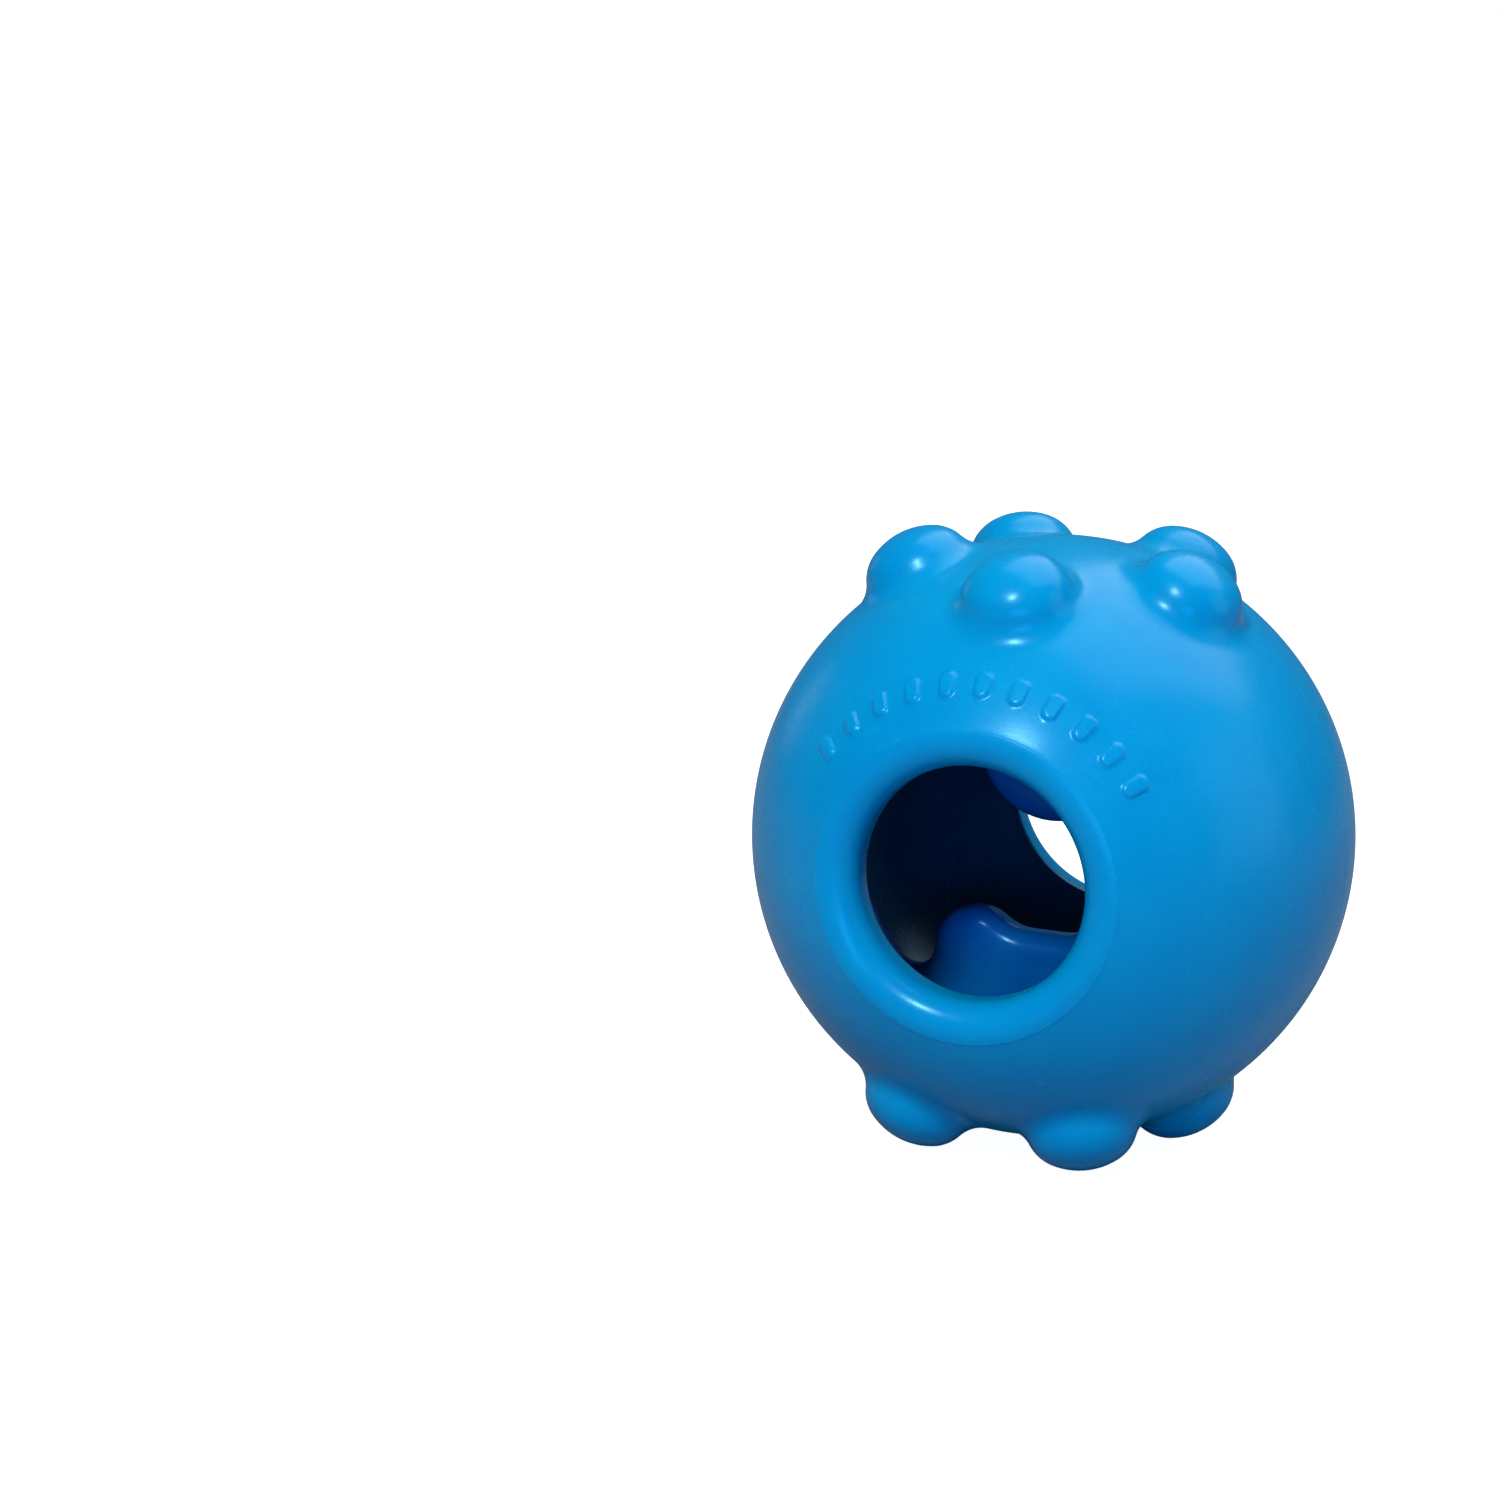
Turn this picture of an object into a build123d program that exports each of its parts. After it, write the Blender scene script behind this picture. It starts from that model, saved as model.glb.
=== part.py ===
from build123d import *
import math
import os

# Hollow moulded rubber ball with two coaxial openings, raised knobs and an inner web.
# The origin is the ball's centre. +Z is up, through the two knob rings.
# The openings look along -Y (front) and +Y (rear). All sizes are millimetres.

# Body
ball_radius = 38.1
wall = 7.1
cavity_radius = ball_radius - wall

# Openings, each with a rolled mouth that runs out into the skin
hole_radius = 14.4
mouth_round = 3.2
inner_round = 0.6

# Knobs: two rings of five, the lower ring turned by half a pitch.
# Each knob is a flat dome: a wide cap with tighter shoulders.
knob_count = 5
knob_tip = 43.1
knob_cap_radius = 9.0
knob_shoulder_radius = 5.3
knob_half_width = 7.05
knob_polar_deg = 29.2
knob_foot_round = 4.0
top_start_deg = -90.0
knob_pitch_deg = 360.0 / knob_count
bottom_start_deg = top_start_deg + knob_pitch_deg / 2

# Raised oval pips in an arc above each opening
pip_count = 11
pip_arc_deg = 108.0
pip_from_axis_deg = 39.3
pip_length = 3.6
pip_width = 2.0
pip_height = 0.4
pip_root = 1.5

# Inner web, held in a rebate cut in both halves at the parting plane
web_thickness = 6.4
rebate_depth = 1.5
web_radius = cavity_radius + rebate_depth
window_radius = 27.0
window_edge_round = 2.8
hump_x = 9.0
hump_centre_z = -16.0
hump_radius = 5.6
saddle_z = -12.7
saddle_round = 6.0
tongue_radius = 10.0
tongue_centre_z = 11.9
lobe_root_round = 3.0


def on_circle(radius, across):
    """Height of a circle about the origin at a given distance across."""
    return math.sqrt(radius ** 2 - across ** 2)


def section():
    """Section of the ball: X is the distance from the opening's axis, Y runs along it."""
    web_half = web_thickness / 2
    outer_y = on_circle(ball_radius, hole_radius)
    inner_y = on_circle(cavity_radius, hole_radius)
    step = on_circle(cavity_radius, web_half)
    belly = (cavity_radius * math.cos(0.5), cavity_radius * math.sin(0.5))
    with BuildSketch() as sketch:
        with BuildLine():
            ThreePointArc((hole_radius, -outer_y), (ball_radius, 0), (hole_radius, outer_y))
            for side in (-1, 1):
                Line((hole_radius, side * outer_y), (hole_radius, side * inner_y))
                ThreePointArc(
                    (hole_radius, side * inner_y),
                    (belly[0], side * belly[1]),
                    (step, side * web_half),
                )
                Line((step, side * web_half), (web_radius, side * web_half))
            Line((web_radius, -web_half), (web_radius, web_half))
        make_face()
        for side in (-1, 1):
            fillet(nearest_vertex(sketch.vertices(), (hole_radius, side * outer_y)), mouth_round)
            fillet(nearest_vertex(sketch.vertices(), (hole_radius, side * inner_y)), inner_round)
    return sketch.sketch


def nearest_vertex(vertices, point):
    """The vertex closest to a point of the section."""
    return min(vertices, key=lambda v: math.hypot(v.X - point[0], v.Y - point[1]))


def bare_ball():
    """The hollow ball with its two openings."""
    return revolve(section(), axis=Axis.Y, revolution_arc=360)


def polar_point(distance, polar_deg, turn_deg):
    """Point at a distance from the centre, tilted from +Z and turned about Z."""
    tilt = math.radians(polar_deg)
    turn = math.radians(turn_deg)
    ring = distance * math.sin(tilt)
    return Vector(ring * math.cos(turn), ring * math.sin(turn), distance * math.cos(tilt))


def knob_axes():
    """Unit vectors from the ball's centre through each knob, the upper ring first."""
    axes = []
    for index in range(knob_count):
        axes.append(polar_point(1.0, knob_polar_deg, top_start_deg + index * knob_pitch_deg))
    for index in range(knob_count):
        turn = bottom_start_deg + index * knob_pitch_deg
        axes.append(polar_point(1.0, 180.0 - knob_polar_deg, turn))
    return axes


def knob(axis_dir):
    """One flat-domed knob with a straight root inside the wall, turned about its own axis."""
    root = ball_radius - wall / 2
    cap_y = knob_tip - knob_cap_radius
    offset = knob_cap_radius - knob_shoulder_radius
    lean = math.asin((knob_half_width - knob_shoulder_radius) / offset)
    shoulder = (offset * math.sin(lean), cap_y + offset * math.cos(lean))
    lean_deg = math.degrees(lean)
    with BuildSketch() as sketch:
        with BuildLine():
            Line((0, root), (knob_half_width, root))
            Line((knob_half_width, root), (knob_half_width, shoulder[1]))
            CenterArc(shoulder, knob_shoulder_radius, 0, 90 - lean_deg)
            CenterArc((0, cap_y), knob_cap_radius, 90 - lean_deg, lean_deg)
            Line((0, knob_tip), (0, root))
        make_face()
    upright = Rot(90, 0, 0) * revolve(sketch.sketch, axis=Axis.Y, revolution_arc=360)
    return Plane(origin=(0, 0, 0), z_dir=axis_dir) * upright


def add_knobs(body):
    """The ball with its knobs, each one blended into the skin by a rounded foot."""
    axes = knob_axes()
    for axis_dir in axes:
        body = body + knob(axis_dir)
    foot_height = on_circle(ball_radius, knob_half_width)
    feet = []
    for edge in body.edges():
        middle = edge.center(CenterOf.BOUNDING_BOX)
        on_skin = abs(edge.position_at(0.3).length - ball_radius) < 0.01
        if on_skin and min((middle - axis_dir * foot_height).length for axis_dir in axes) < 1.0:
            feet.append(edge)
    return fillet(feet, knob_foot_round)


def pip(side, angle_deg):
    """One raised oval; side is -1 for the front opening and +1 for the rear one."""
    tilt = math.radians(pip_from_axis_deg)
    angle = math.radians(angle_deg)
    outward = Vector(
        math.sin(tilt) * math.sin(angle),
        side * math.cos(tilt),
        math.sin(tilt) * math.cos(angle),
    )
    along = Vector(0, side, 0) - outward * (side * outward.Y)
    plane = Plane(origin=outward * (ball_radius - pip_root), x_dir=along, z_dir=outward)
    oval = plane * SlotOverall(pip_length, pip_width)
    post = extrude(oval, pip_root + 2 * pip_height, dir=outward)
    return post & Sphere(ball_radius + pip_height)


def add_pips(half, side):
    """One half of the ball with an arc of raised pips above its opening."""
    pitch = pip_arc_deg / (pip_count - 1)
    for index in range(pip_count):
        half = half + pip(side, index * pitch - pip_arc_deg / 2)
    return half


def window_outline():
    """Window of the web: a two-humped sill rises from below and a round tongue hangs from above."""
    sill_half_width = hump_x + hump_radius
    with BuildSketch(Plane.XZ) as sketch:
        Circle(window_radius)
        with Locations((-hump_x, hump_centre_z), (hump_x, hump_centre_z)):
            Circle(hump_radius, mode=Mode.SUBTRACT)
        with Locations((0, hump_centre_z - window_radius / 2)):
            Rectangle(2 * sill_half_width, window_radius, mode=Mode.SUBTRACT)
        with Locations((0, saddle_z - window_radius / 2)):
            Rectangle(2 * hump_x, window_radius, mode=Mode.SUBTRACT)
        with Locations((0, tongue_centre_z)):
            Circle(tongue_radius, mode=Mode.SUBTRACT)
        with Locations((0, tongue_centre_z + window_radius / 2)):
            Rectangle(2 * tongue_radius, window_radius, mode=Mode.SUBTRACT)
    return sketch.sketch


def upright_edges(plate, low_z, high_z, reach):
    """Edges of the window that run through the web, picked by height and distance from the centre."""
    picked = []
    for edge in plate.edges().filter_by(Axis.Y):
        middle = edge.position_at(0.5)
        if low_z < middle.Z < high_z and middle.length < web_radius - 1 and reach(middle):
            picked.append(edge)
    return picked


def web():
    """The upright web with its window, the lobe roots and all edges of the window rounded."""
    disc = Rot(90, 0, 0) * Cylinder(web_radius, web_thickness)
    plate = disc - extrude(window_outline(), web_thickness, both=True)
    at_ring = window_radius - 0.1
    roots = upright_edges(plate, -window_radius, window_radius, lambda p: p.length > at_ring and p.Z != 0)
    plate = fillet(roots, lobe_root_round)
    corners = upright_edges(plate, saddle_z - 0.1, saddle_z + 0.1, lambda p: abs(p.X) < hump_x)
    plate = fillet(corners, saddle_round)
    rim = []
    for edge in plate.edges():
        samples = [edge.position_at(step / 4) for step in range(5)]
        reach = max(point.length for point in samples)
        flat = all(abs(abs(point.Y) - web_thickness / 2) < 0.01 for point in samples)
        if flat and reach < cavity_radius:
            rim.append(edge)
    return fillet(rim, window_edge_round)


skin = add_knobs(bare_ball())
front_shell = add_pips(split(skin, bisect_by=Plane.XZ, keep=Keep.TOP), -1)
rear_shell = add_pips(split(skin, bisect_by=Plane.XZ, keep=Keep.BOTTOM), 1)
inner_baffle = web()

os.makedirs("parts", exist_ok=True)
export_step(front_shell, "parts/front_shell.step")
export_step(rear_shell, "parts/rear_shell.step")
export_step(inner_baffle, "parts/inner_baffle.step")
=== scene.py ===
import bmesh
import bpy
import math
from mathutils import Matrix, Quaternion, Vector


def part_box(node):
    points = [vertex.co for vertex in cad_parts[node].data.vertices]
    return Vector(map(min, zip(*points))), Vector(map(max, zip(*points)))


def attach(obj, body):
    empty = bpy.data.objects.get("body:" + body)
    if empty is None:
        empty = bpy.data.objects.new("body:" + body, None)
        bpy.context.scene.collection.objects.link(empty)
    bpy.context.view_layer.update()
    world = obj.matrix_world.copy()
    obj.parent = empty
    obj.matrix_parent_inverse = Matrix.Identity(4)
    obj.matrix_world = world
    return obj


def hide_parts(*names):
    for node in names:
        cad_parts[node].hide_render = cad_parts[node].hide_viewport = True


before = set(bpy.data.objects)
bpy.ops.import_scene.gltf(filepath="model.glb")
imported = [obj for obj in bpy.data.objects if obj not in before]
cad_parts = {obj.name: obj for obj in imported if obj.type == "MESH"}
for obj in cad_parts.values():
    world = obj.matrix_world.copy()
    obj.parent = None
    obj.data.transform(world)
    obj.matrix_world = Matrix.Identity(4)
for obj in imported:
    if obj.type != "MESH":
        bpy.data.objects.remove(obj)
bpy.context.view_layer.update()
MM = 0.001

# Camera.
# A short telephoto looks slightly down on the ball and from its right, held a little tilted.
# It is turned aside, so that the ball sits right of the middle and a little low.
camera_distance = 0.4862
camera_turn = math.radians(18.0)
camera_height = math.radians(13.05)
camera_roll = math.radians(3.27)
camera_lens = 91.6
camera_sensor = 36.0
camera_near_limit = 0.01
ball_right_of_axis = 0.0791
ball_below_axis = 0.0221

outward = Vector((
    math.sin(camera_turn) * math.cos(camera_height),
    -math.cos(camera_turn) * math.cos(camera_height),
    math.sin(camera_height),
))
camera_data = bpy.data.cameras.new("camera")
camera_data.lens = camera_lens
camera_data.sensor_width = camera_sensor
camera_data.clip_start = camera_near_limit
camera = bpy.data.objects.new("camera", camera_data)
bpy.context.scene.collection.objects.link(camera)
camera.location = outward * camera_distance
straight = (-outward).to_track_quat("-Z", "Y")
rolled = straight @ Quaternion((0.0, 0.0, 1.0), camera_roll)
to_ball = Vector((ball_right_of_axis, -ball_below_axis, -1.0))
aside = to_ball.rotation_difference(Vector((0.0, 0.0, -1.0)))
camera.rotation_mode = "QUATERNION"
camera.rotation_quaternion = rolled @ aside
bpy.context.scene.camera = camera

# Floor.
# A wide flat sheet of matt white paper under the ball's lower knobs.
# It glows only where it is looked at directly, so it looks white and throws little light on the ball.
floor_half = 3.0
floor_level = min(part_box(node)[0].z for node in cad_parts)
paper_white = (1.0, 1.0, 1.0, 1.0)
paper_roughness = 0.9
paper_tone_to_light = 0.24
paper_tone_in_view = 0.42
paper_glow_in_view = 0.97

corners = []
for x, y in ((-1, -1), (1, -1), (1, 1), (-1, 1)):
    corners.append((x * floor_half, y * floor_half, floor_level))
floor_mesh = bpy.data.meshes.new("floor")
floor_mesh.from_pydata(corners, [], [(0, 1, 2, 3)])
floor = bpy.data.objects.new("floor", floor_mesh)
bpy.context.scene.collection.objects.link(floor)
paper = bpy.data.materials.new("white_paper")
paper.use_nodes = True
paper_shader = paper.node_tree.nodes["Principled BSDF"]
paper_shader.inputs["Roughness"].default_value = paper_roughness
paper_shader.inputs["Specular IOR Level"].default_value = 0.0
in_view = paper.node_tree.nodes.new("ShaderNodeLightPath").outputs["Is Camera Ray"]
paper_tone = paper.node_tree.nodes.new("ShaderNodeMapRange")
paper_tone.inputs["To Min"].default_value = paper_tone_to_light
paper_tone.inputs["To Max"].default_value = paper_tone_in_view
paper.node_tree.links.new(in_view, paper_tone.inputs["Value"])
paper.node_tree.links.new(paper_tone.outputs["Result"], paper_shader.inputs["Base Color"])
paper_glow = paper.node_tree.nodes.new("ShaderNodeMath")
paper_glow.operation = "MULTIPLY"
paper_glow.inputs[1].default_value = paper_glow_in_view
paper.node_tree.links.new(in_view, paper_glow.inputs[0])
paper_shader.inputs["Emission Color"].default_value = paper_white
paper.node_tree.links.new(paper_glow.outputs[0], paper_shader.inputs["Emission Strength"])
floor_mesh.materials.append(paper)

# Lamps and room.
# A small box above the front gives the sharp highlights, and a wide one overhead lights the top.
# A pale side box, a blue fill near the floor and a narrow card at the left lift the flanks.
room_blue = (0.05, 0.17, 0.34, 1.0)
room_white = (1.0, 1.0, 1.0, 1.0)


def lamp(name, toward, distance, width, height, watts, colour=(1.0, 1.0, 1.0)):
    """A soft box that shines at the ball from one direction."""
    data = bpy.data.lights.new(name, "AREA")
    data.shape = "RECTANGLE"
    data.size = width
    data.size_y = height
    data.energy = watts
    data.color = colour
    box = bpy.data.objects.new(name, data)
    bpy.context.scene.collection.objects.link(box)
    place = Vector(toward).normalized()
    box.location = place * distance
    box.rotation_mode = "QUATERNION"
    box.rotation_quaternion = place.to_track_quat("Z", "Y")


lamp("key_box", toward=(-0.024, -0.734, 0.675), distance=1.2, width=0.13, height=0.22, watts=10.0)
lamp("top_box", toward=(0.2, 0.40, 1.0), distance=1.4, width=1.5, height=1.5, watts=15.0)
lamp("side_box", toward=(1.0, 0.15, 0.25), distance=1.6, width=0.9, height=1.4, watts=4.0,
     colour=(0.7, 0.9, 1.0))
lamp("low_fill", toward=(0.35, -1.0, 0.02), distance=1.8, width=1.0, height=0.6, watts=19.0,
     colour=(0.06, 0.50, 1.0))
lamp("left_card", toward=(-0.86, 0.45, 0.15), distance=1.4, width=0.2, height=0.35, watts=0.12)

world = bpy.data.worlds.new("studio")
world.use_nodes = True
sky = world.node_tree.nodes["Background"]
in_view = world.node_tree.nodes.new("ShaderNodeLightPath").outputs["Is Camera Ray"]
sky_tone = world.node_tree.nodes.new("ShaderNodeMix")
sky_tone.data_type = "RGBA"
sky_tone.inputs[6].default_value = room_blue
sky_tone.inputs[7].default_value = room_white
world.node_tree.links.new(in_view, sky_tone.inputs["Factor"])
world.node_tree.links.new(sky_tone.outputs[2], sky.inputs["Color"])
bpy.context.scene.world = world
bpy.context.scene.view_settings.view_transform = "Standard"

# Front and rear shells.
# Two equal cups of fairly glossy blue rubber, 7.1 mm thick, meet at the ball's upright middle plane.
# Each is moulded in one piece: a round hole with a rolled mouth, its share of the ten knobs and an
# arc of raised pips.
ball_radius = 38.1
cavity_radius = 31.0
hole_radius = 14.4
mouth_round = 3.4
mouth_proud = 0.05
inner_round = 0.6
witness_height = 0.05
witness_width = 0.45
parting_chamfer = 0.11
web_radius = 32.5
web_half = 3.2
knob_count = 5
knob_tilt_deg = 29.2
knob_tip = 43.1
knob_cap_radius = 9.0
knob_shoulder_radius = 5.3
knob_half_width = 7.05
knob_foot_round = 4.0
pip_count = 11
pip_pitch_deg = 10.8
pips_from_axis_deg = 39.3
pip_length = 3.6
pip_width = 2.0
pip_height = 0.4
pip_foot = 0.10
pip_shoulder = 0.28

# How the shells' mesh is cut and joined. Its rows are close together across the band of pips.
steps_around = 540
mouth_steps = 16
witness_steps = 8
above_mouth_steps = 9
pip_band_steps = 19
pip_band_start_deg = 36.3
pip_band_end_deg = 42.4
flank_steps = 76
hollow_steps = 26
inner_round_steps = 4
knob_cap_share = 0.34
knob_shoulder_share = 0.66
mesh_weld = 0.002
skin_slack = 0.02
skin_depth = 0.5
crisp_angle = math.radians(38.0)

skin_blue = (0.0, 0.30, 0.535, 1.0)
skin_blue_deep = (0.0, 0.27, 0.52, 1.0)
bloom_blue = (0.02, 0.33, 0.68, 1.0)
speck_grey = (0.20, 0.42, 0.62, 1.0)
# Painted shade: the wall of the hollow inside the shells is coloured a near-black blue for the shade inside
# the ball.
hollow_painted_shade = (0.002, 0.026, 0.075, 1.0)
painted_shade_margin = 0.05
painted_shade_blend = 0.5
bloom_share = 0.22
relief_strength = 0.30
relief_depth = 0.06
rubber_finish = {
    "IOR": 1.5,
    "Specular IOR Level": 0.36,
    "Specular Tint": (0.30, 0.75, 1.0, 1.0),
    "Subsurface Weight": 0.30,
    "Subsurface Radius": (0.05, 0.35, 1.0),
    "Subsurface Scale": 3.0 * MM,
}


def plug(tree, socket, value):
    """Joins a socket to another one, or gives it a plain value."""
    if isinstance(value, bpy.types.NodeSocket):
        tree.links.new(value, socket)
    else:
        socket.default_value = value


def calc(tree, operation, *values):
    """One arithmetic step on numbers; gives back its result's socket."""
    node = tree.nodes.new("ShaderNodeMath")
    node.operation = operation
    for socket, value in zip(node.inputs, values):
        plug(tree, socket, value)
    return node.outputs[0]


def span(tree, value, from_low, from_high, to_low=0.0, to_high=1.0, smooth=False):
    """Maps a number from one span onto another and holds it at the ends."""
    node = tree.nodes.new("ShaderNodeMapRange")
    node.clamp = True
    if smooth:
        node.interpolation_type = "SMOOTHSTEP"
    for socket, number in zip(node.inputs, (value, from_low, from_high, to_low, to_high)):
        plug(tree, socket, number)
    return node.outputs["Result"]


def noise(tree, place, scale, detail, roughness):
    """Soft random pattern, from 0 to 1, of a given number of blotches per metre."""
    node = tree.nodes.new("ShaderNodeTexNoise")
    tree.links.new(place, node.inputs["Vector"])
    node.inputs["Detail"].default_value = detail
    node.inputs["Roughness"].default_value = roughness
    plug(tree, node.inputs["Scale"], scale)
    return node.outputs["Fac"]


def mixed(tree, share, first, second):
    """Blend of two colours."""
    node = tree.nodes.new("ShaderNodeMix")
    node.data_type = "RGBA"
    plug(tree, node.inputs["Factor"], share)
    for socket, value in ((node.inputs[6], first), (node.inputs[7], second)):
        plug(tree, socket, value)
    return node.outputs[2]


def moulded_skin_group():
    """What the mould and handling leave on rubber: tone, bloom, specks, gloss and height."""
    films_per_blotch = 0.45
    rubs_per_blotch = 5.0
    rub_share = 0.6
    film_share = 0.4
    smallest_speck = 0.05
    largest_speck = 0.10
    speck_height = 0.25
    tree = bpy.data.node_groups.new("moulded_skin", "ShaderNodeTree")
    face = tree.interface
    for name, number in (("Blotch scale", 60.0), ("Grain scale", 2600.0), ("Wave scale", 95.0),
                         ("Speck scale", 420.0), ("Speck share", 0.004),
                         ("Grain height", 0.5), ("Wave height", 0.5)):
        socket = face.new_socket(name, in_out="INPUT", socket_type="NodeSocketFloat")
        socket.default_value = number
    for name in ("Tone", "Bloom", "Specks", "Gloss", "Height"):
        face.new_socket(name, in_out="OUTPUT", socket_type="NodeSocketFloat")
    enter = tree.nodes.new("NodeGroupInput").outputs
    leave = tree.nodes.new("NodeGroupOutput").inputs
    place = tree.nodes.new("ShaderNodeTexCoord").outputs["Object"]

    tone = noise(tree, place, enter["Blotch scale"], detail=4.0, roughness=0.55)
    tree.links.new(span(tree, tone, from_low=0.3, from_high=0.7, smooth=True), leave["Tone"])

    film_scale = calc(tree, "MULTIPLY", enter["Blotch scale"], films_per_blotch)
    film = noise(tree, place, film_scale, detail=6.0, roughness=0.65)
    tree.links.new(span(tree, film, from_low=0.5, from_high=0.78, smooth=True), leave["Bloom"])

    cells = tree.nodes.new("ShaderNodeTexVoronoi")
    tree.links.new(place, cells.inputs["Vector"])
    tree.links.new(enter["Speck scale"], cells.inputs["Scale"])
    pick = tree.nodes.new("ShaderNodeSeparateColor")
    tree.links.new(cells.outputs["Color"], pick.inputs["Color"])
    chosen = calc(tree, "LESS_THAN", pick.outputs["Red"], enter["Speck share"])
    size = span(tree, pick.outputs["Green"], 0.0, 1.0, smallest_speck, largest_speck)
    near = calc(tree, "LESS_THAN", cells.outputs["Distance"], size)
    specks = calc(tree, "MULTIPLY", chosen, near)
    tree.links.new(specks, leave["Specks"])

    rub_scale = calc(tree, "MULTIPLY", enter["Blotch scale"], rubs_per_blotch)
    rub = noise(tree, place, rub_scale, detail=5.0, roughness=0.7)
    dull = calc(tree, "ADD", calc(tree, "MULTIPLY", rub, rub_share),
                calc(tree, "MULTIPLY", film, film_share))
    tree.links.new(span(tree, dull, from_low=0.3, from_high=0.7), leave["Gloss"])

    grain = noise(tree, place, enter["Grain scale"], detail=3.0, roughness=0.6)
    wave = noise(tree, place, enter["Wave scale"], detail=2.0, roughness=0.4)
    fine = calc(tree, "MULTIPLY", grain, enter["Grain height"])
    slow = calc(tree, "MULTIPLY", wave, enter["Wave height"])
    raised = calc(tree, "MULTIPLY", specks, speck_height)
    tree.links.new(calc(tree, "ADD", calc(tree, "ADD", fine, slow), raised), leave["Height"])
    return tree


def rubber(name, blue, deep_blue, smoothest, roughest, painted_shade_from=None):
    """Blue moulded rubber of one tone and gloss; nearer the centre than the given radius it is painted near
    black as shade.
    """
    material = bpy.data.materials.new(name)
    material.use_nodes = True
    tree = material.node_tree
    shader = tree.nodes["Principled BSDF"]
    skin = tree.nodes.new("ShaderNodeGroup")
    skin.node_tree = moulded_skin
    toned = mixed(tree, skin.outputs["Tone"], deep_blue, blue)
    film = calc(tree, "MULTIPLY", skin.outputs["Bloom"], bloom_share)
    filmed = mixed(tree, film, toned, bloom_blue)
    coloured = mixed(tree, skin.outputs["Specks"], filmed, speck_grey)
    # Painted shade: nearer the centre than the cavity wall, the colour turns to a near-black blue.
    if painted_shade_from is not None:
        spot = tree.nodes.new("ShaderNodeVectorMath")
        spot.operation = "LENGTH"
        tree.links.new(tree.nodes.new("ShaderNodeTexCoord").outputs["Object"], spot.inputs[0])
        outside = span(tree, spot.outputs["Value"], painted_shade_from, painted_shade_from + painted_shade_blend * MM)
        coloured = mixed(tree, outside, hollow_painted_shade, coloured)
    tree.links.new(coloured, shader.inputs["Base Color"])
    rough = span(tree, skin.outputs["Gloss"], 0.0, 1.0, smoothest, roughest)
    tree.links.new(rough, shader.inputs["Roughness"])
    relief = tree.nodes.new("ShaderNodeBump")
    relief.inputs["Strength"].default_value = relief_strength
    relief.inputs["Distance"].default_value = relief_depth * MM
    tree.links.new(skin.outputs["Height"], relief.inputs["Height"])
    tree.links.new(relief.outputs["Normal"], shader.inputs["Normal"])
    for socket, value in rubber_finish.items():
        shader.inputs[socket].default_value = value
    return material


moulded_skin = moulded_skin_group()
# The skin's hollow side is painted near black as shade.
skin_rubber = rubber("blue_rubber_skin", skin_blue, skin_blue_deep, smoothest=0.20, roughest=0.31,
                     painted_shade_from=(cavity_radius + painted_shade_margin) * MM)


def arc(centre, radius, start_deg, end_deg, steps):
    """Points along an arc, its start left out."""
    points = []
    for step in range(1, steps + 1):
        angle = math.radians(start_deg + (end_deg - start_deg) * step / steps)
        points.append((centre[0] + radius * math.cos(angle), centre[1] + radius * math.sin(angle)))
    return points


def skin_points(low_polar, high_polar, steps):
    """Points along the skin between two angles from the opening's axis."""
    return arc((0.0, 0.0), ball_radius, 90.0 - low_polar, 90.0 - high_polar, steps)


def mouth_corner():
    """Centre of the mouth's round, the angle from the axis of its crease with the skin, and that of
    the far side of the raised witness line beside the crease."""
    across = hole_radius + mouth_round
    length = ball_radius - mouth_round + mouth_proud
    centre = (across, math.sqrt(length ** 2 - across ** 2))
    along = (ball_radius ** 2 - mouth_round ** 2 + length ** 2) / (2 * length)
    turned_back = math.acos(along / ball_radius)
    crease = math.degrees(math.asin(across / length) - turned_back)
    return centre, crease, crease + math.degrees(witness_width / ball_radius)


def shell_section():
    """Closed section of one cup, as distance from the opening's axis and from the parting plane."""
    lip, crease_polar, witness_polar = mouth_corner()
    crease = skin_points(crease_polar, crease_polar, 1)[0]
    crease_angle = math.degrees(math.atan2(crease[1] - lip[1], crease[0] - lip[0]))
    root_across = hole_radius + inner_round
    root = (root_across, math.sqrt((cavity_radius + inner_round) ** 2 - root_across ** 2))
    root_angle = math.degrees(math.atan2(root[1], root[0]))
    seat_across = math.sqrt(cavity_radius ** 2 - web_half ** 2)
    seat_angle = math.degrees(math.atan2(web_half, seat_across))
    short_of_crease = 1.0
    chamfer_depth = 0.9 * parting_chamfer
    joint_middle = 35.3
    seat_shelf = 0.8

    points = [(hole_radius, lip[1])]
    points += arc(lip, mouth_round, 180.0, crease_angle + short_of_crease, mouth_steps)
    points += [crease]
    witness = skin_points(crease_polar, witness_polar, witness_steps)
    for step, (across, along) in enumerate(witness, start=1):
        grown = 1 + witness_height * math.sin(math.pi * step / witness_steps) ** 2 / ball_radius
        points.append((across * grown, along * grown))
    points += skin_points(witness_polar, pip_band_start_deg, above_mouth_steps)
    points += skin_points(pip_band_start_deg, pip_band_end_deg, pip_band_steps)
    points += skin_points(pip_band_end_deg, 90.0 - math.degrees(parting_chamfer / ball_radius), flank_steps)
    points += [(ball_radius - chamfer_depth, 0.0), (joint_middle, 0.0), (web_radius, 0.0)]
    points += [(web_radius, web_half / 2), (web_radius, web_half)]
    points += [(seat_across + seat_shelf, web_half), (seat_across, web_half)]
    points += arc((0.0, 0.0), cavity_radius, seat_angle, root_angle, hollow_steps)
    points += arc(root, inner_round, root_angle + 180.0, 180.0, inner_round_steps)
    points += [(hole_radius, (root[1] + lip[1]) / 2)]
    return points


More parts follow.
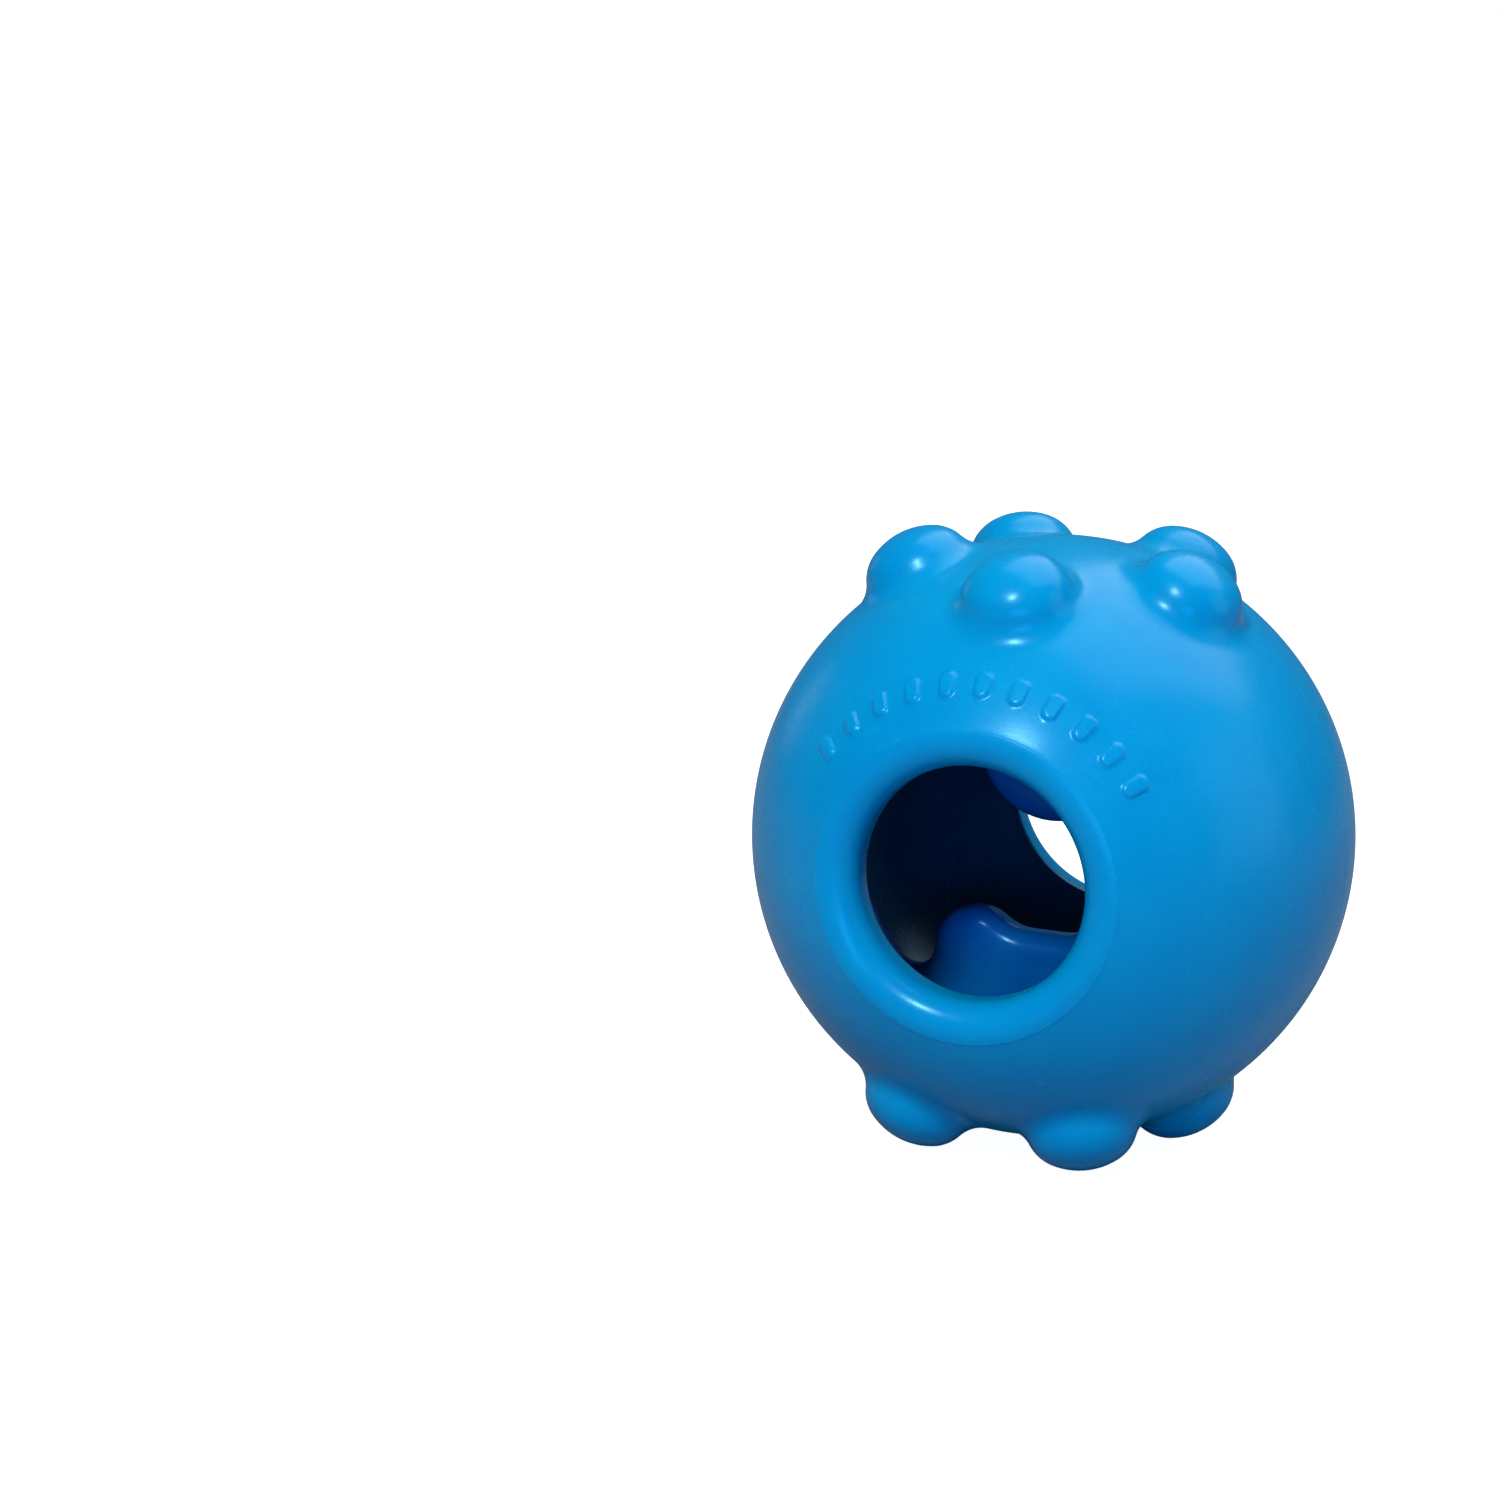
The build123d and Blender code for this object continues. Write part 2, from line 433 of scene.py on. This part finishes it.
def knob_arcs():
    """The cap, shoulder and foot of a knob's section, each as its centre's distance out from the
    knob's axis and up along it, its radius, and the angle at which it ends. The foot is hollow, so
    its radius is negative."""
    offset = knob_cap_radius - knob_shoulder_radius
    lean = math.asin((knob_half_width - knob_shoulder_radius) / offset)
    cap_up = knob_tip - knob_cap_radius
    shoulder = (offset * math.sin(lean), cap_up + offset * math.cos(lean))
    reach = knob_shoulder_radius + knob_foot_round
    far = ball_radius + knob_foot_round
    length = math.hypot(*shoulder)
    middle = (far ** 2 - reach ** 2 + length ** 2) / (2 * length)
    beside = math.sqrt(far ** 2 - middle ** 2)
    along = (shoulder[0] / length, shoulder[1] / length)
    foot = (along[0] * middle + along[1] * beside, along[1] * middle - along[0] * beside)
    shoulder_end = math.atan2(foot[0] - shoulder[0], foot[1] - shoulder[1])
    foot_end = math.atan2(foot[0], foot[1])
    return (
        (0.0, cap_up, knob_cap_radius, lean),
        (*shoulder, knob_shoulder_radius, shoulder_end),
        (*foot, -knob_foot_round, foot_end),
    )


def vector_calc(tree, operation, *values):
    """One step of arithmetic on vectors; gives back its result's socket."""
    node = tree.nodes.new("ShaderNodeVectorMath")
    node.operation = operation
    sockets = [node.inputs[0], node.inputs["Scale"]] if operation == "SCALE" else node.inputs
    for socket, value in zip(sockets, values):
        plug(tree, socket, value)
    return node.outputs["Value" if operation in ("DOT_PRODUCT", "LENGTH") else "Vector"]


def combine(tree, x, y, z):
    """A vector from its three parts."""
    node = tree.nodes.new("ShaderNodeCombineXYZ")
    for socket, value in zip(node.inputs, (x, y, z)):
        plug(tree, socket, value)
    return node.outputs["Vector"]


def separate(tree, vector):
    """The three parts of a vector."""
    node = tree.nodes.new("ShaderNodeSeparateXYZ")
    tree.links.new(vector, node.inputs[0])
    return node.outputs


def placed(tree, geometry, position, chosen=None):
    """The geometry with its chosen points put at new positions."""
    node = tree.nodes.new("GeometryNodeSetPosition")
    tree.links.new(geometry, node.inputs["Geometry"])
    tree.links.new(position, node.inputs["Position"])
    if chosen is not None:
        tree.links.new(chosen, node.inputs["Selection"])
    return node.outputs["Geometry"]


def turned_section(tree, enter):
    """The section swept once round the opening's axis, as a closed skin."""
    count = tree.nodes.new("GeometryNodeAttributeDomainSize")
    tree.links.new(enter["Section"], count.inputs["Geometry"])
    rows = count.outputs["Point Count"]
    columns = calc(tree, "ADD", enter["Around"], 1.0)
    grid = tree.nodes.new("GeometryNodeMeshGrid")
    tree.links.new(calc(tree, "ADD", rows, 1.0), grid.inputs["Vertices X"])
    tree.links.new(columns, grid.inputs["Vertices Y"])
    index = tree.nodes.new("GeometryNodeInputIndex").outputs["Index"]
    row = calc(tree, "FLOOR", calc(tree, "DIVIDE", index, columns))
    column = calc(tree, "FLOORED_MODULO", index, columns)
    point = tree.nodes.new("GeometryNodeSampleIndex")
    point.data_type = "FLOAT_VECTOR"
    tree.links.new(enter["Section"], point.inputs["Geometry"])
    tree.links.new(tree.nodes.new("GeometryNodeInputPosition").outputs[0], point.inputs["Value"])
    tree.links.new(calc(tree, "FLOORED_MODULO", row, rows), point.inputs["Index"])
    across, along, _ = separate(tree, point.outputs["Value"])
    turn = calc(tree, "MULTIPLY", calc(tree, "DIVIDE", column, enter["Around"]), math.tau)
    swept = combine(
        tree,
        calc(tree, "MULTIPLY", across, calc(tree, "SINE", turn)),
        calc(tree, "MULTIPLY", along, enter["Side"]),
        calc(tree, "MULTIPLY", across, calc(tree, "COSINE", turn)),
    )
    merge = tree.nodes.new("GeometryNodeMergeByDistance")
    tree.links.new(placed(tree, grid.outputs["Mesh"], swept), merge.inputs["Geometry"])
    merge.inputs["Distance"].default_value = mesh_weld * MM
    return merge.outputs["Geometry"]


def stepped(tree, sizes, past_cap, past_shoulder):
    """A size that changes at each joint between the three arcs of a knob, in metres."""
    at_cap, at_shoulder, at_foot = (size * MM for size in sizes)
    first = calc(tree, "MULTIPLY", past_cap, at_shoulder - at_cap)
    second = calc(tree, "MULTIPLY", past_shoulder, at_foot - at_shoulder)
    return calc(tree, "ADD", calc(tree, "ADD", first, second), at_cap)


def with_knobs(tree, shell, enter):
    """Two rings of knobs drawn out of the skin, the lower ring turned by half a pitch."""
    centres_out, centres_up, radii, end_angles = zip(*knob_arcs())
    start = tree.nodes.new("GeometryNodeRepeatInput")
    finish = tree.nodes.new("GeometryNodeRepeatOutput")
    start.pair_with_output(finish)
    tree.links.new(calc(tree, "MULTIPLY", enter["Knobs in a ring"], 2.0), start.inputs["Iterations"])
    tree.links.new(shell, start.inputs["Geometry"])

    number = start.outputs["Iteration"]
    last_upper = calc(tree, "SUBTRACT", enter["Knobs in a ring"], 0.5)
    lower = calc(tree, "GREATER_THAN", number, last_upper)
    pitch = calc(tree, "DIVIDE", math.tau, enter["Knobs in a ring"])
    turns = calc(tree, "ADD", number, calc(tree, "MULTIPLY", lower, 0.5))
    turn = calc(tree, "MULTIPLY_ADD", turns, pitch, -math.pi / 2)
    up = calc(tree, "MULTIPLY_ADD", lower, -2.0, 1.0)
    spread = calc(tree, "SINE", enter["Knob tilt"])
    axis = combine(
        tree,
        calc(tree, "MULTIPLY", spread, calc(tree, "COSINE", turn)),
        calc(tree, "MULTIPLY", spread, calc(tree, "SINE", turn)),
        calc(tree, "MULTIPLY", up, calc(tree, "COSINE", enter["Knob tilt"])),
    )

    place = tree.nodes.new("GeometryNodeInputPosition").outputs[0]
    depth = calc(tree, "SUBTRACT", vector_calc(tree, "LENGTH", place), ball_radius * MM)
    facing = vector_calc(tree, "NORMALIZE", place)
    lift = vector_calc(tree, "DOT_PRODUCT", facing, axis)
    sideways = vector_calc(tree, "SUBTRACT", facing, vector_calc(tree, "SCALE", axis, lift))
    lean_from_axis = calc(tree, "ARCTAN2", vector_calc(tree, "LENGTH", sideways), lift)
    share = calc(tree, "DIVIDE", lean_from_axis, end_angles[-1])
    on_skin = calc(tree, "GREATER_THAN", depth, -skin_depth * MM)
    chosen = calc(tree, "MULTIPLY", on_skin, calc(tree, "LESS_THAN", share, 1.0))

    shares = (0.0, knob_cap_share, knob_shoulder_share, 1.0)
    turned_to = (0.0, *end_angles)
    angle = 0.0
    for low_share, high_share, low, high in zip(shares, shares[1:], turned_to, turned_to[1:]):
        angle = calc(tree, "ADD", angle, span(tree, share, low_share, high_share, 0.0, high - low))
    past_cap = calc(tree, "GREATER_THAN", share, knob_cap_share)
    past_shoulder = calc(tree, "GREATER_THAN", share, knob_shoulder_share)
    radius = calc(tree, "ADD", stepped(tree, radii, past_cap, past_shoulder), depth)
    centre_out = stepped(tree, centres_out, past_cap, past_shoulder)
    centre_up = stepped(tree, centres_up, past_cap, past_shoulder)
    out = calc(tree, "MULTIPLY_ADD", radius, calc(tree, "SINE", angle), centre_out)
    height = calc(tree, "MULTIPLY_ADD", radius, calc(tree, "COSINE", angle), centre_up)
    along_axis = vector_calc(tree, "SCALE", axis, height)
    beside_axis = vector_calc(tree, "SCALE", vector_calc(tree, "NORMALIZE", sideways), out)
    drawn = vector_calc(tree, "ADD", along_axis, beside_axis)
    tree.links.new(placed(tree, start.outputs["Geometry"], drawn, chosen), finish.inputs["Geometry"])
    return finish.outputs["Geometry"]


def with_pips(tree, shell, enter):
    """An arc of raised ovals on the skin above the opening, each lying along a line from its axis."""
    place = tree.nodes.new("GeometryNodeInputPosition").outputs[0]
    x, y, z = separate(tree, place)
    length = vector_calc(tree, "LENGTH", place)
    on_skin = calc(tree, "GREATER_THAN", length, (ball_radius - skin_slack) * MM)
    polar = calc(tree, "ARCCOSINE", calc(tree, "DIVIDE", calc(tree, "ABSOLUTE", y), length))
    turn = calc(tree, "ARCTAN2", x, z)
    half_count = calc(tree, "DIVIDE", calc(tree, "SUBTRACT", enter["Pips"], 1.0), 2.0)
    nearest = calc(tree, "ROUND", calc(tree, "DIVIDE", turn, enter["Pip pitch"]))
    nearest = calc(tree, "MINIMUM", nearest, half_count)
    nearest = calc(tree, "MAXIMUM", nearest, calc(tree, "MULTIPLY", half_count, -1.0))
    beside = calc(tree, "SUBTRACT", turn, calc(tree, "MULTIPLY", nearest, enter["Pip pitch"]))
    ring = calc(tree, "MULTIPLY", calc(tree, "SINE", enter["Pips from axis"]), ball_radius * MM)
    beside = calc(tree, "MULTIPLY", beside, ring)
    past_middle = calc(tree, "SUBTRACT", polar, enter["Pips from axis"])
    along = calc(tree, "ABSOLUTE", calc(tree, "MULTIPLY", past_middle, ball_radius * MM))
    half_width = calc(tree, "DIVIDE", enter["Pip width"], 2.0)
    straight = calc(tree, "DIVIDE", calc(tree, "SUBTRACT", enter["Pip length"], enter["Pip width"]), 2.0)
    past_straight = calc(tree, "MAXIMUM", calc(tree, "SUBTRACT", along, straight), 0.0)
    away_squared = calc(tree, "ADD", calc(tree, "POWER", past_straight, 2.0),
                        calc(tree, "POWER", beside, 2.0))
    outside = calc(tree, "SUBTRACT", calc(tree, "SQRT", away_squared), half_width)
    rise = span(tree, outside, pip_foot * MM, -pip_shoulder * MM, 0.0, enter["Pip height"], smooth=True)
    grown = calc(tree, "ADD", calc(tree, "DIVIDE", rise, length), 1.0)
    return placed(tree, shell, vector_calc(tree, "SCALE", place, grown), on_skin)


def shell_tree():
    """The rule for one cup: turn its section, draw out the knobs, raise the pips."""
    tree = bpy.data.node_groups.new("rubber_cup", "GeometryNodeTree")
    face = tree.interface
    face.new_socket("Cup", in_out="OUTPUT", socket_type="NodeSocketGeometry")
    face.new_socket("Section", in_out="INPUT", socket_type="NodeSocketGeometry")
    for name in ("Side", "Knob tilt", "Pip pitch", "Pips from axis",
                 "Pip length", "Pip width", "Pip height"):
        face.new_socket(name, in_out="INPUT", socket_type="NodeSocketFloat")
    for name in ("Around", "Knobs in a ring", "Pips"):
        face.new_socket(name, in_out="INPUT", socket_type="NodeSocketInt")
    face.new_socket("Rubber", in_out="INPUT", socket_type="NodeSocketMaterial")
    enter = tree.nodes.new("NodeGroupInput").outputs
    shell = turned_section(tree, enter)
    shell = with_knobs(tree, shell, enter)
    shell = with_pips(tree, shell, enter)
    realize = tree.nodes.new("GeometryNodeRealizeInstances")
    tree.links.new(shell, realize.inputs["Geometry"])
    coat = tree.nodes.new("GeometryNodeSetMaterial")
    tree.links.new(realize.outputs["Geometry"], coat.inputs["Geometry"])
    tree.links.new(enter["Rubber"], coat.inputs["Material"])
    leave = tree.nodes.new("NodeGroupOutput").inputs
    tree.links.new(coat.outputs["Geometry"], leave["Cup"])
    return tree


def outward_closed(mesh):
    """Turns a closed skin's faces outwards and keeps its true edges crisp."""
    work = bmesh.new()
    work.from_mesh(mesh)
    bmesh.ops.recalc_face_normals(work, faces=work.faces)
    if work.calc_volume(signed=True) < 0:
        bmesh.ops.reverse_faces(work, faces=work.faces)
    for face in work.faces:
        face.smooth = True
    work.to_mesh(mesh)
    work.free()
    mesh.set_sharp_from_angle(angle=crisp_angle)


def moulded_cup(name, section, inputs):
    """The mesh of one cup, made from its section by the cup rule with the given inputs."""
    edges = [(step, (step + 1) % len(section)) for step in range(len(section))]
    section_mesh = bpy.data.meshes.new(name + "_section")
    section_mesh.from_pydata([(x * MM, y * MM, 0.0) for x, y in section], edges, [])
    pattern = bpy.data.objects.new(name + "_section", section_mesh)
    bpy.context.scene.collection.objects.link(pattern)
    modifier = pattern.modifiers.new("cup", "NODES")
    modifier.node_group = cup_rule
    for item in cup_rule.interface.items_tree:
        if item.in_out == "INPUT" and item.name in inputs:
            modifier[item.identifier] = inputs[item.name]
    depsgraph = bpy.context.evaluated_depsgraph_get()
    mesh = bpy.data.meshes.new_from_object(pattern.evaluated_get(depsgraph))
    pattern.modifiers.remove(modifier)
    bpy.data.objects.remove(pattern)
    # The rule leaves an empty slot in front of the rubber's.
    if mesh.materials[0] is None:
        mesh.materials.pop(index=0)
    return mesh


cup_rule = shell_tree()
cup_section = shell_section()
cup_inputs = {
    "Knob tilt": math.radians(knob_tilt_deg),
    "Knobs in a ring": knob_count,
    "Pips": pip_count,
    "Pip pitch": math.radians(pip_pitch_deg),
    "Pips from axis": math.radians(pips_from_axis_deg),
    "Pip length": pip_length * MM,
    "Pip width": pip_width * MM,
    "Pip height": pip_height * MM,
    "Around": steps_around,
    "Rubber": skin_rubber,
}
cups = (("rubber_shell_front", "front_shell", -1.0), ("rubber_shell_rear", "rear_shell", 1.0))
for name, node, side in cups:
    cup_mesh = moulded_cup(name, cup_section, {**cup_inputs, "Side": side})
    outward_closed(cup_mesh)
    cup = bpy.data.objects.new(name, cup_mesh)
    bpy.context.scene.collection.objects.link(cup)
    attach(cup, "root")
    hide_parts(node)

# Inner web.
# A 6.4 mm thick wall of the same rubber, painted a deeper blue as shade, seated in a step inside both
# shells.
# Its window leaves a two-humped sill below and a round tongue above, with well rounded edges.
window_radius = 27.0
window_round = 2.8
hump_x = 9.0
hump_z = -16.0
hump_radius = 5.6
saddle_z = -12.7
saddle_round = 6.0
tongue_radius = 10.0
tongue_z = 11.9
root_round = 3.0

edge_steps = 12
saddle_steps = 12
lobe_steps = 26
root_steps = 14
window_side_steps = 60
rim_steps = 300
web_weld = 0.004
flat_slack = 0.001

# Painted shade: the web's blue is darker than the skin's for the shade it sits in inside the ball.
web_shaded_blue = (0.0, 0.135, 0.47, 1.0)
web_shaded_blue_deep = (0.0, 0.105, 0.41, 1.0)
web_rubber = rubber("blue_rubber_web", web_shaded_blue, web_shaded_blue_deep, smoothest=0.17, roughest=0.24)


def window_arcs():
    """Arcs of the window's right half from the saddle up to the tongue, each as its centre, radius,
    start, end and steps."""
    apart = saddle_round + hump_radius
    rise = saddle_z + saddle_round - hump_z
    saddle = (hump_x - math.sqrt(apart ** 2 - rise ** 2), saddle_z + saddle_round)
    toward = math.degrees(math.atan2(rise, saddle[0] - hump_x))
    inner = window_radius - root_round
    low_x = hump_x + hump_radius + root_round
    low = (low_x, -math.sqrt(inner ** 2 - low_x ** 2))
    low_angle = math.degrees(math.atan2(low[1], low[0]))
    high_x = tongue_radius + root_round
    high = (high_x, math.sqrt(inner ** 2 - high_x ** 2))
    high_angle = math.degrees(math.atan2(high[1], high[0]))
    return [
        (saddle, saddle_round, -90.0, toward - 180.0, saddle_steps),
        ((hump_x, hump_z), hump_radius, toward, 0.0, lobe_steps),
        (low, root_round, 180.0, 360.0 + low_angle, root_steps),
        ((0.0, 0.0), window_radius, low_angle, high_angle, window_side_steps),
        (high, root_round, high_angle, 180.0, root_steps),
        ((0.0, tongue_z), tongue_radius, 0.0, -90.0, lobe_steps),
    ]


def window_loop(inset):
    """The window's whole outline, moved into the rubber by an inset, as (x, z) points."""
    right = []
    for centre, radius, start_deg, end_deg, steps in window_arcs():
        grown = radius + inset if end_deg > start_deg else radius - inset
        for step in range(steps + 1):
            angle = math.radians(start_deg + (end_deg - start_deg) * step / steps)
            right.append((centre[0] + grown * math.cos(angle), centre[1] + grown * math.sin(angle)))
    left = [(-x, z) for x, z in reversed(right[:-1])]
    return right + left


def bridge(work, loops):
    """Joins each closed loop of points to the next one with a band of faces."""
    for near, far in zip(loops, loops[1:]):
        for here in range(len(near)):
            there = (here + 1) % len(near)
            work.faces.new((near[here], near[there], far[there], far[here]))


def web_mesh():
    """The web as a closed skin: rounded window edge, two flat faces and the seated rim."""
    work = bmesh.new()
    quarter = []
    for step in range(edge_steps + 1):
        angle = math.pi / 2 * step / edge_steps
        quarter.append((window_round * (1 - math.sin(angle)), window_round * math.cos(angle)))
    flat_half = web_half - window_round
    section = [(inset, -(flat_half + reach)) for inset, reach in quarter]
    section += [(inset, flat_half + reach) for inset, reach in reversed(quarter)]
    window = []
    for inset, y in section:
        window.append([work.verts.new((x * MM, y * MM, z * MM)) for x, z in window_loop(inset)])
    bridge(work, window)
    rim = []
    for y in (-web_half, 0.0, web_half):
        ring = []
        for step in range(rim_steps):
            angle = math.tau * step / rim_steps
            x, z = web_radius * math.cos(angle), web_radius * math.sin(angle)
            ring.append(work.verts.new((x * MM, y * MM, z * MM)))
        rim.append(ring)
    bridge(work, rim)
    bmesh.ops.remove_doubles(work, verts=work.verts, dist=web_weld * MM)
    for y in (-web_half, web_half):
        level = [edge for edge in work.edges
                 if edge.is_boundary and all(abs(v.co.y - y * MM) < flat_slack * MM for v in edge.verts)]
        bmesh.ops.triangle_fill(work, use_beauty=True, use_dissolve=False, edges=level)
    mesh = bpy.data.meshes.new("rubber_web")
    work.to_mesh(mesh)
    work.free()
    return mesh


web_skin = web_mesh()
outward_closed(web_skin)
web_skin.materials.append(web_rubber)
web = bpy.data.objects.new("rubber_web", web_skin)
bpy.context.scene.collection.objects.link(web)
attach(web, "root")
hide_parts("inner_baffle")
